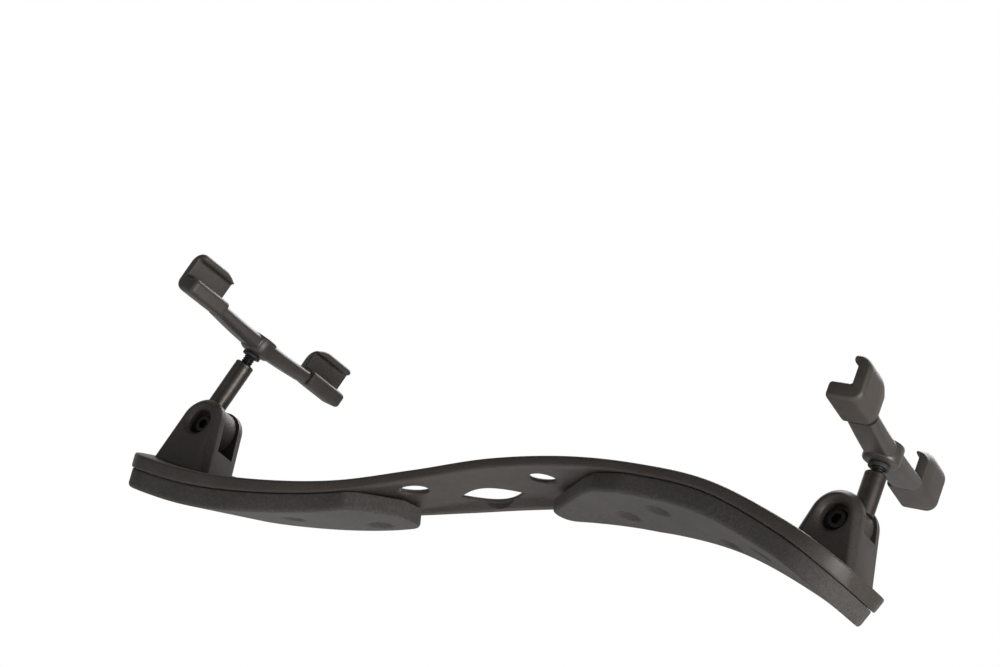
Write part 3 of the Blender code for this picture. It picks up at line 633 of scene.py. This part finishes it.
def make_bow(side, mat):
    end = BOW_REACH - CLAW_LENGTH - 0.05
    rings = []
    for k in range(65):
        y = end * (k / 32 - 1)
        reach = min(abs(y) / (BOW_REACH - CLAW_LENGTH), 1.0)
        under = BOSS_BOTTOM + 0.6 + 1.2 * reach ** 1.6
        section = arm_section(ARM_HALF - ARM_TAPER * reach, under, ARM_THICK - ARM_THINNING * reach)
        rings.append([(x, y, z) for x, z in section])
    place = foot_matrix(side)
    bow = add_object(f"{side}_bow_arm", rings_mesh("bow", rings, 40, place))
    top = BOSS_BOTTOM + BOSS_HEIGHT
    boss = ((0, top), (BOSS_R - 0.5, top), (BOSS_R - 0.15, top - 0.15), (BOSS_R, top - 0.5),
            (BOSS_R, BOSS_BOTTOM + 0.9), (BOSS_R - 0.2, BOSS_BOTTOM + 0.5), (BOSS_R - 0.9, BOSS_BOTTOM + 0.1),
            (BOSS_R - 1.2, BOSS_BOTTOM), (0, BOSS_BOTTOM))
    cut(bow, [turned_mesh("boss", boss, 72, "Z", place)], "UNION", 32)
    roof = BOSS_BOTTOM + BOSS_ROOF
    floor = top - HEAD_FLOOR
    hole = ((0, top + 1), (BOW_SCREW_R + 0.2, top + 1), (BOW_SCREW_R + 0.2, floor), (0.75, floor),
            (0.75, roof), (ROD_R + 0.15, roof), (ROD_R + 0.15, BOSS_BOTTOM - 1), (0, BOSS_BOTTOM - 1))
    cut(bow, [turned_mesh("hole", hole, 48, "Z", place)], "DIFFERENCE", 32)
    stand_for(bow, f"{side}_bow", f"{side}_foot", mat)


def make_bow_screw(side, mat):
    top = BOSS_BOTTOM + BOSS_HEIGHT - 0.1
    r = BOW_SCREW_R
    profile = ((0, top), (r - 0.2, top), (r, top - 0.2), (r, top - 0.9), (0.45, top - 0.9),
               (0.45, BOSS_BOTTOM + 1.0), (0, BOSS_BOTTOM + 1.0))
    place = foot_matrix(side)
    screw = add_object(f"{side}_boss_screw", turned_mesh("bow_screw", profile, 48, "Z", place))
    slit = ((-3, -0.3), (3, -0.3), (3, 0.3), (-3, 0.3))
    groove = [[(x, y, z) for x, y in slit] for z in (top - 0.4, top + 1)]
    cut(screw, [rings_mesh("groove", groove, 35, place)])
    stand_for(screw, f"{side}_bow_screw", f"{side}_foot", mat)


def claw_outline(shrink, outer):
    """The C-shaped section of a claw, as (outboard, up) points; outer thins the outer wall."""
    crown = MOUTH + 2 * HOOK - outer
    wall = OUTER_WALL - 0.3 * outer
    hook = HOOK - outer / 2
    tip = JAW_TIP + JAW_CORNER
    points = arc(tip, JAW_CORNER - JAW, JAW_CORNER - shrink, 270, 180, 8)
    points += arc(tip, -JAW_CORNER, JAW_CORNER - shrink, 180, 90, 8)
    points += arc(INNER_WALL - 0.8, 0.8 - shrink, 0.8, 270, 360, 7)
    points += arc(INNER_WALL - 0.8, MOUTH - 0.8 + shrink, 0.8, 0, 90, 7)
    points += arc(HOOK_X, MOUTH + hook, hook - shrink, 270, 90, 14)
    points += arc(wall - CROWN_CORNER, crown - CROWN_CORNER, CROWN_CORNER - shrink, 90, 0, 14)
    points += arc(wall - CLAW_CORNER, CLAW_CORNER - JAW, CLAW_CORNER - shrink, 0, -90, 14)
    return points


def make_claw(side, name, direction, mat):
    """A rubber claw: its outer wall eases into the arm and its free end is rounded."""
    start = BOW_REACH - CLAW_LENGTH
    levels = [(start, 0.3, 1.3), (start + 0.12, 0.15, 1.3), (start + 0.35, 0.05, 1.25)]
    levels += [(start + 0.7 + 0.4 * k, 0.0, 1.2 * (1 - k / 9) ** 2) for k in range(10)]
    levels += [(BOW_REACH - 1.6 + 1.6 * sin(a), 1.0 * (1 - cos(a)), 0.0)
               for a in [k * pi / 18 for k in range(10)]]
    rings = [[(x, y * direction, z) for x, z in claw_outline(min(s, 0.95), o)] for y, s, o in levels]
    obj = add_object(f"{side}_claw_{name}", rings_mesh("claw", rings, 45, foot_matrix(side)))
    stand_for(obj, f"{side}_{name}_claw", f"{side}_foot", mat)


# ---- materials ----
class Nodes:
    """A Principled material whose colour, roughness and bump come from procedural nodes."""

    def __init__(self, name, roughness, metallic=0.0, specular=0.5, sheen=0.0):
        self.mat = bpy.data.materials.new(name)
        self.mat.use_nodes = True
        self.tree = self.mat.node_tree
        self.shader = self.tree.nodes["Principled BSDF"]
        self.shader.inputs["Roughness"].default_value = roughness
        self.shader.inputs["Metallic"].default_value = metallic
        self.shader.inputs["Specular IOR Level"].default_value = specular
        self.shader.inputs["Sheen Weight"].default_value = sheen
        self.coords = self.tree.nodes.new("ShaderNodeTexCoord").outputs["Object"]

    def noise(self, scale, detail=3.0, rough=0.55, stretch=None):
        node = self.tree.nodes.new("ShaderNodeTexNoise")
        node.inputs["Scale"].default_value = scale
        node.inputs["Detail"].default_value = detail
        node.inputs["Roughness"].default_value = rough
        self.tree.links.new(self.stretched(stretch), node.inputs["Vector"])
        return node.outputs["Fac"]

    def cells(self, scale, feature="F1"):
        node = self.tree.nodes.new("ShaderNodeTexVoronoi")
        node.feature = feature
        node.inputs["Scale"].default_value = scale
        self.tree.links.new(self.coords, node.inputs["Vector"])
        return node.outputs["Distance"]

    def stretched(self, stretch):
        if stretch is None:
            return self.coords
        mapping = self.tree.nodes.new("ShaderNodeMapping")
        mapping.inputs["Scale"].default_value = stretch
        self.tree.links.new(self.coords, mapping.inputs["Vector"])
        return mapping.outputs["Vector"]

    def ramp(self, value, stops):
        node = self.tree.nodes.new("ShaderNodeValToRGB")
        elements = node.color_ramp.elements
        while len(elements) < len(stops):
            elements.new(0.5)
        for element, (place, colour) in zip(elements, stops):
            element.position = place
            element.color = (*colour, 1.0)
        self.tree.links.new(value, node.inputs["Fac"])
        return node.outputs["Color"]

    def mix(self, factor, a, b, mode="MIX"):
        node = self.tree.nodes.new("ShaderNodeMix")
        node.data_type = "RGBA"
        node.blend_type = mode
        if isinstance(factor, float):
            node.inputs["Factor"].default_value = factor
        else:
            self.tree.links.new(factor, node.inputs["Factor"])
        self.tree.links.new(a, node.inputs["A"])
        self.tree.links.new(b, node.inputs["B"])
        return node.outputs["Result"]

    def colour(self, value):
        self.tree.links.new(value, self.shader.inputs["Base Color"])

    def roughness(self, value, low, high):
        node = self.tree.nodes.new("ShaderNodeMapRange")
        node.inputs["To Min"].default_value = low
        node.inputs["To Max"].default_value = high
        self.tree.links.new(value, node.inputs["Value"])
        self.tree.links.new(node.outputs["Result"], self.shader.inputs["Roughness"])

    def bumps(self, *layers):
        """Bump layers as (value, strength, depth in metres)."""
        normal = None
        for value, strength, depth in layers:
            node = self.tree.nodes.new("ShaderNodeBump")
            node.inputs["Strength"].default_value = strength
            node.inputs["Distance"].default_value = depth
            self.tree.links.new(value, node.inputs["Height"])
            if normal is not None:
                self.tree.links.new(normal, node.inputs["Normal"])
            normal = node.outputs["Normal"]
        self.tree.links.new(normal, self.shader.inputs["Normal"])


def composite_material():
    m = Nodes("moulded_composite", 0.5, specular=0.42)
    cloud = m.noise(70.0, 3.0)
    grain = m.noise(2600.0, 2.0)
    base = m.ramp(cloud, ((0.3, (0.043, 0.036, 0.031)), (0.7, (0.054, 0.046, 0.040))))
    fleck = m.ramp(grain, ((0.35, (0.75, 0.75, 0.75)), (0.65, (1.2, 1.19, 1.17))))
    m.colour(m.mix(1.0, base, fleck, "MULTIPLY"))
    m.roughness(m.noise(240.0, 3.0), 0.42, 0.58)
    m.bumps((m.noise(180.0, 2.0), 0.25, 0.00006), (grain, 0.35, 0.00004))
    return m.mat


def foam_material():
    """Closed-cell foam: lighter and darker grains, and fine pits."""
    m = Nodes("speckled_foam", 0.9, specular=0.25, sheen=0.08)
    grains = m.noise(1500.0, 4.0, 0.7)
    fine = m.noise(4200.0, 2.0, 0.6)
    base = m.ramp(grains, ((0.30, (0.046, 0.042, 0.039)), (0.48, (0.062, 0.057, 0.053)),
                           (0.62, (0.074, 0.068, 0.064)), (0.74, (0.110, 0.102, 0.096))))
    cloud = m.ramp(m.noise(55.0, 3.0), ((0.3, (0.86, 0.86, 0.86)), (0.7, (1.12, 1.11, 1.10))))
    m.colour(m.mix(1.0, base, cloud, "MULTIPLY"))
    m.roughness(fine, 0.82, 0.98)
    m.bumps((grains, 0.7, 0.00016), (m.cells(2300.0), 0.45, 0.0001))
    return m.mat


def rubber_material():
    m = Nodes("claw_rubber", 0.5, specular=0.4)
    cloud = m.noise(110.0, 3.0)
    m.colour(m.ramp(cloud, ((0.3, (0.047, 0.039, 0.033)), (0.7, (0.060, 0.051, 0.044)))))
    m.roughness(m.noise(420.0, 3.0), 0.40, 0.55)
    m.bumps((m.noise(900.0, 3.0), 0.2, 0.00004), (m.noise(3800.0, 1.0), 0.15, 0.00002))
    return m.mat


def coated_material():
    """Satin dark coating: faint orange peel and a few lighter rubbed spots."""
    m = Nodes("coated_metal_finish", 0.38, specular=0.5)
    base = m.ramp(m.noise(90.0, 3.0), ((0.3, (0.044, 0.038, 0.033)), (0.7, (0.058, 0.050, 0.044))))
    light = m.ramp(m.noise(40.0, 1.0), ((0.0, (0.075, 0.068, 0.060)), (1.0, (0.095, 0.086, 0.077))))
    rubbed = m.ramp(m.noise(620.0, 6.0, 0.75), ((0.66, (0, 0, 0)), (0.74, (0.4, 0.4, 0.4))))
    m.colour(m.mix(rubbed, base, light))
    m.roughness(m.noise(300.0, 3.0), 0.30, 0.46)
    m.bumps((m.noise(1300.0, 2.0), 0.25, 0.00003))
    return m.mat


def gunmetal_material():
    """Warm dark plated metal with turning marks around it and small smudges."""
    m = Nodes("turned_gunmetal", 0.42, metallic=0.9)
    rings = m.noise(900.0, 3.0, 0.6, stretch=(0.12, 0.12, 1.0))
    base = m.ramp(m.noise(160.0, 4.0), ((0.3, (0.085, 0.074, 0.066)), (0.7, (0.115, 0.101, 0.091))))
    lines = m.ramp(rings, ((0.3, (0.86, 0.86, 0.86)), (0.7, (1.1, 1.1, 1.1))))
    m.colour(m.mix(1.0, base, lines, "MULTIPLY"))
    m.roughness(m.noise(260.0, 4.0), 0.36, 0.5)
    m.bumps((rings, 0.25, 0.00002))
    return m.mat


def steel_material():
    m = Nodes("black_steel_finish", 0.42, metallic=0.8)
    m.colour(m.ramp(m.noise(500.0, 4.0), ((0.3, (0.020, 0.019, 0.019)), (0.7, (0.045, 0.043, 0.042)))))
    m.roughness(m.noise(700.0, 3.0), 0.34, 0.52)
    m.bumps((m.noise(2200.0, 2.0), 0.2, 0.00002))
    return m.mat


def nylon_material():
    m = Nodes("plain_nylon", 0.6, specular=0.35)
    m.colour(m.ramp(m.noise(380.0, 3.0), ((0.3, (0.020, 0.019, 0.019)), (0.7, (0.032, 0.031, 0.030)))))
    m.roughness(m.noise(900.0, 2.0), 0.52, 0.68)
    m.bumps((m.noise(2600.0, 2.0), 0.2, 0.00002))
    return m.mat


# ---- stage ----
def make_stage():
    """A pale floor far below, since the rest is seen from below, and soft studio light."""
    mesh = bpy.data.meshes.new("floor")
    r = FLOOR_REACH
    mesh.from_pydata([(-r, -r, 0), (r, -r, 0), (r, r, 0), (-r, r, 0)], [], [(0, 1, 2, 3)])
    floor = add_object("floor", mesh)
    floor.location.z = FLOOR_Z * MM
    paint = Nodes("floor_paper", 0.9, specular=0.2)
    paint.colour(paint.ramp(paint.noise(3.0, 2.0), ((0.0, (0.70, 0.70, 0.70)), (1.0, (0.74, 0.74, 0.74)))))
    paint.shader.inputs["Emission Color"].default_value = (1.0, 1.0, 1.0, 1.0)
    paint.shader.inputs["Emission Strength"].default_value = FLOOR_GLOW
    mesh.materials.append(paint.mat)

    make_world()
    for name, place, aim, size, power in LIGHTS:
        light = bpy.data.lights.new(name, "AREA")
        light.size = size * MM
        light.energy = power
        lamp = bpy.data.objects.new(name, light)
        bpy.context.scene.collection.objects.link(lamp)
        lamp.location = Vector(place) * MM
        lamp.rotation_euler = (Vector(aim) * MM - lamp.location).to_track_quat("-Z", "Y").to_euler()


def make_world():
    """A white surround for the camera. The rest is lit by a dim studio with a bright wall behind it."""
    world = bpy.data.worlds.new("studio")
    bpy.context.scene.world = world
    world.use_nodes = True
    tree = world.node_tree
    background = tree.nodes["Background"]
    background.inputs["Color"].default_value = (1.0, 1.0, 1.0, 1.0)
    direction = tree.nodes.new("ShaderNodeTexCoord")
    towards = tree.nodes.new("ShaderNodeVectorMath")
    towards.operation = "DOT_PRODUCT"
    towards.inputs[1].default_value = Vector(WALL_TOWARDS).normalized()
    tree.links.new(direction.outputs["Generated"], towards.inputs[0])
    wall = tree.nodes.new("ShaderNodeMapRange")
    wall.interpolation_type = "SMOOTHSTEP"
    wall.inputs["From Min"].default_value = WALL_EDGE
    wall.inputs["From Max"].default_value = 1.0
    wall.inputs["To Min"].default_value = STUDIO_DIM
    wall.inputs["To Max"].default_value = WALL_BRIGHT
    tree.links.new(towards.outputs["Value"], wall.inputs["Value"])
    path = tree.nodes.new("ShaderNodeLightPath")
    seen = tree.nodes.new("ShaderNodeMix")
    tree.links.new(path.outputs["Is Camera Ray"], seen.inputs["Factor"])
    tree.links.new(wall.outputs["Result"], seen.inputs["A"])
    seen.inputs["B"].default_value = 1.0
    tree.links.new(seen.outputs["Result"], background.inputs["Strength"])


def make_camera():
    data = bpy.data.cameras.new("camera")
    data.lens = CAMERA_LENS
    data.sensor_width = 36.0
    data.clip_start = 0.01
    camera = bpy.data.objects.new("camera", data)
    bpy.context.scene.collection.objects.link(camera)
    camera.location = Vector(CAMERA_AT) * MM
    camera.rotation_euler = Euler([radians(a) for a in CAMERA_TURN], "XYZ")
    bpy.context.scene.camera = camera


def main():
    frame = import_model()
    make_camera()
    make_stage()
    bpy.context.scene.view_settings.view_transform = "Standard"

    composite = composite_material()
    foam = foam_material()
    rubber = rubber_material()
    coated = coated_material()
    gunmetal = gunmetal_material()
    steel = steel_material()
    nylon = nylon_material()

    make_bar(composite)
    for side, spec in SIDES.items():
        make_pad(side, foam)
        make_studs(side, nylon)
        make_tower(side, composite)
        make_hinge(side, steel)
        make_knuckle(side, composite)
        make_sleeve(side, gunmetal)
        make_rod(side, steel)
        make_collar(side, nylon)
        make_bow(side, coated)
        make_bow_screw(side, steel)
        make_claw(side, "near", -spec["sign"], rubber)
        make_claw(side, "far", spec["sign"], rubber)
        for node in ("tower_screw_near", "tower_screw_far", "hinge_nut"):
            plain = frame["nodes"][f"{side}_{node}"]
            plain.data.materials.clear()
            plain.data.materials.append(steel)


main()
